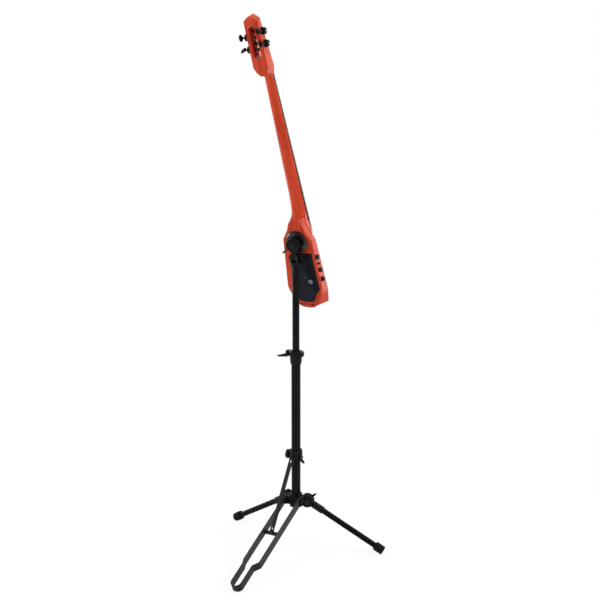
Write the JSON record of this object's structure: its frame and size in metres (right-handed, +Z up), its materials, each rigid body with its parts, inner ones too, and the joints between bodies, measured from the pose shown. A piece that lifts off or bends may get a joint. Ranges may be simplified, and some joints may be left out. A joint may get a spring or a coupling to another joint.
{
  "type": "electric cello on a stand",
  "caption": "Solid-body electric cello with a slim lacquered body, slotted head and geared tuners, held at its back by a tilting mount on a folding tripod stand.",
  "frame": {"origin": "floor level, at the middle of the plan of the whole object, so that the mast's axis stands at x = 0 and y = 0.152 m", "axes": "+Z up along the mast, -Y towards the player, who sits on the side of the loop leg and the cello's back edge, +X to the right as seen from the player's side of the picture"},
  "size_m": [0.6806, 0.59, 1.9838],
  "materials": {
    "lacquered_wood": "orange-red satin-gloss lacquer over maple",
    "ebony": "oiled black",
    "maple": "bare, sealed",
    "black_enamel": "satin black enamel on steel tube",
    "black_casting": "black powder coat on a die casting",
    "dark_band": "dark blackened steel band",
    "black_plastic": "fine matt",
    "rubber": "matt",
    "blackened_steel": "black oxide",
    "black_machine_head": "black plated",
    "bright_steel": "polished",
    "circuit_board": "solder mask",
    "clear_lens": "clear"
  },
  "bodies": {
    "base": {"hub": "black_casting", "lower_tube": "black_enamel", "tube_bushing": "black_plastic", "height_clamp": "black_casting", "clamp_screw": "blackened_steel", "loop_pin": "blackened_steel", "right_leg_bolt": "blackened_steel", "left_leg_bolt": "blackened_steel"},
    "leg_lock": {"leg_lock_lever": "black_casting"},
    "right_leg": {"right_leg_joint": "black_casting", "right_leg_tube": "black_enamel", "right_leg_foot": "rubber"},
    "left_leg": {"left_leg_joint": "black_casting", "left_leg_tube": "black_enamel", "left_leg_foot": "rubber"},
    "loop": {"loop_leg": "dark_band", "crossbar": "black_casting"},
    "strut": {"strut": "black_enamel"},
    "collar": {"collar": "black_casting"},
    "collar_knob": {"collar_knob": "black_plastic"},
    "collar_lever": {"collar_lever": "black_casting"},
    "clamp_lever": {"clamp_lever": "black_casting"},
    "mast": {"upper_tube": "black_enamel"},
    "fork": {"tilt_fork": "black_casting", "tilt_bolt": "black_plastic"},
    "wing_nut": {"tilt_wing_nut": "black_plastic"},
    "tilt_arm": {"tilt_arm": "black_casting"},
    "clutch_lever": {"clutch_lever": "black_casting"},
    "instrument": {"mount_disc": "black_casting", "body": "lacquered_wood", "rear_cover": "black_plastic", "jack_socket": "bright_steel", "status_light": "clear_lens", "preamp_board": "circuit_board", "switch_bushing": "blackened_steel", "neck": "lacquered_wood", "fingerboard": "ebony", "nut": "ebony", "tuner_1_case": "black_machine_head", "tuner_2_case": "black_machine_head", "tuner_3_case": "black_machine_head", "tuner_4_case": "black_machine_head", "pickup": "ebony", "bridge": "maple", "string_a": "bright_steel", "string_d": "bright_steel", "string_g": "bright_steel", "string_c": "bright_steel"},
    "volume_knob": {"volume_knob": "black_plastic"},
    "tone_knob": {"tone_knob": "black_plastic"},
    "blend_knob": {"blend_knob": "black_plastic"},
    "switch_lever": {"switch_lever": "blackened_steel"},
    "key_1": {"tuner_1_key": "black_machine_head"},
    "post_1": {"tuner_1_post": "black_machine_head"},
    "key_2": {"tuner_2_key": "black_machine_head"},
    "post_2": {"tuner_2_post": "black_machine_head"},
    "key_3": {"tuner_3_key": "black_machine_head"},
    "post_3": {"tuner_3_post": "black_machine_head"},
    "key_4": {"tuner_4_key": "black_machine_head"},
    "post_4": {"tuner_4_post": "black_machine_head"}
  },
  "joints": [
    {"name": "leg_lock_turn", "type": "hinge", "parent": "base", "child": "leg_lock", "pos_m": [0.03917, 0.17944, 0.189], "axis": [-0.2588, 0.9659, 0], "range_deg": [-60, 60]},
    {"name": "right_leg_fold", "type": "hinge", "parent": "base", "child": "right_leg", "pos_m": [0.04347, 0.1634, 0.189], "axis": [-0.2588, 0.9659, 0], "range_deg": [0, 58]},
    {"name": "left_leg_fold", "type": "hinge", "parent": "base", "child": "left_leg", "pos_m": [-0.04347, 0.1634, 0.189], "axis": [-0.2588, -0.9659, 0], "range_deg": [0, 58]},
    {"name": "loop_fold", "type": "hinge", "parent": "base", "child": "loop", "pos_m": [0, 0.12676, 0.1968], "axis": [1, 0, 0], "range_deg": [0, 55]},
    {"name": "strut_swing", "type": "hinge", "parent": "loop", "child": "strut", "pos_m": [0, -0.0356, 0.13218], "axis": [1, 0, 0], "range_deg": [-29, 0]},
    {"name": "collar_slide", "type": "slide", "parent": "base", "child": "collar", "axis": [0, 0, 1], "range_m": [-0.075, 0]},
    {"name": "collar_knob_turn", "type": "hinge", "parent": "collar", "child": "collar_knob", "pos_m": [-0.0276, 0.15176, 0.369], "axis": [-1, 0, 0], "continuous": true},
    {"name": "collar_lever_turn", "type": "hinge", "parent": "collar", "child": "collar_lever", "pos_m": [0.0245, 0.13625, 0.362], "axis": [0, -1, 0], "range_deg": [-60, 60]},
    {"name": "clamp_lever_turn", "type": "hinge", "parent": "base", "child": "clamp_lever", "pos_m": [-0.032, 0.14145, 0.765], "axis": [0, -1, 0], "range_deg": [-60, 60]},
    {"name": "mast_height", "type": "slide", "parent": "base", "child": "mast", "axis": [0, 0, 1], "range_m": [-0.28, 0.1]},
    {"name": "mast_swivel", "type": "hinge", "parent": "mast", "child": "fork", "pos_m": [0, 0.15176, 1.1], "axis": [0, 0, 1], "range_deg": [-180, 180]},
    {"name": "wing_nut_turn", "type": "hinge", "parent": "fork", "child": "wing_nut", "pos_m": [0.0156, 0.15176, 1.133], "axis": [1, 0, 0], "continuous": true},
    {"name": "head_tilt", "type": "hinge", "parent": "fork", "child": "tilt_arm", "pos_m": [0, 0.15176, 1.133], "axis": [1, 0, 0], "range_deg": [-15, 25]},
    {"name": "clutch_turn", "type": "hinge", "parent": "tilt_arm", "child": "clutch_lever", "pos_m": [0, 0.16156, 1.1933], "axis": [0, -0.9505, -0.3107], "range_deg": [-60, 15]},
    {"name": "mount_turn", "type": "hinge", "parent": "tilt_arm", "child": "instrument", "pos_m": [0, 0.16156, 1.1933], "axis": [0, -0.9505, -0.3107], "range_deg": [-90, 90]},
    {"name": "volume_turn", "type": "hinge", "parent": "instrument", "child": "volume_knob", "pos_m": [0.06429, 0.19197, 1.13658], "axis": [0.9971, -0.0236, 0.0722], "range_deg": [-150, 150]},
    {"name": "tone_turn", "type": "hinge", "parent": "instrument", "child": "tone_knob", "pos_m": [0.06834, 0.21065, 1.08677], "axis": [0.9971, -0.0236, 0.0722], "range_deg": [-150, 150]},
    {"name": "blend_turn", "type": "hinge", "parent": "instrument", "child": "blend_knob", "pos_m": [0.07132, 0.22438, 1.05015], "axis": [0.9971, -0.0236, 0.0722], "range_deg": [-150, 150]},
    {"name": "switch_flick", "type": "hinge", "parent": "instrument", "child": "switch_lever", "pos_m": [0.06633, 0.20137, 1.11151], "axis": [0, 0.9505, 0.3107], "range_deg": [-12, 12]},
    {"name": "key_1_turn", "type": "hinge", "parent": "instrument", "child": "key_1", "pos_m": [0.03456, -0.13686, 1.92645], "axis": [0, -0.9941, -0.1083], "continuous": true},
    {"name": "post_1_turn", "type": "hinge", "parent": "instrument", "child": "post_1", "pos_m": [0, -0.12642, 1.92759], "axis": [1, 0, 0], "continuous": true},
    {"name": "key_2_turn", "type": "hinge", "parent": "instrument", "child": "key_2", "pos_m": [-0.03489, -0.12804, 1.90684], "axis": [0, -0.9941, -0.1083], "continuous": true},
    {"name": "post_2_turn", "type": "hinge", "parent": "instrument", "child": "post_2", "pos_m": [0, -0.1176, 1.90798], "axis": [-1, 0, 0], "continuous": true},
    {"name": "key_3_turn", "type": "hinge", "parent": "instrument", "child": "key_3", "pos_m": [0.0352, -0.11943, 1.88769], "axis": [0, -0.9941, -0.1083], "continuous": true},
    {"name": "post_3_turn", "type": "hinge", "parent": "instrument", "child": "post_3", "pos_m": [0, -0.10899, 1.88883], "axis": [1, 0, 0], "continuous": true},
    {"name": "key_4_turn", "type": "hinge", "parent": "instrument", "child": "key_4", "pos_m": [-0.03552, -0.11081, 1.86854], "axis": [0, -0.9941, -0.1083], "continuous": true},
    {"name": "post_4_turn", "type": "hinge", "parent": "instrument", "child": "post_4", "pos_m": [0, -0.10037, 1.86968], "axis": [-1, 0, 0], "continuous": true}
  ],
  "couplings": [
    {"joint": "strut_swing", "follows": "loop_fold", "ratio": -0.522},
    {"joint": "collar_slide", "follows": "loop_fold", "m_per_rad": -0.074872},
    {"joint": "post_1_turn", "follows": "key_1_turn", "ratio": 0.0625},
    {"joint": "post_2_turn", "follows": "key_2_turn", "ratio": 0.0625},
    {"joint": "post_3_turn", "follows": "key_3_turn", "ratio": 0.0625},
    {"joint": "post_4_turn", "follows": "key_4_turn", "ratio": 0.0625}
  ]
}
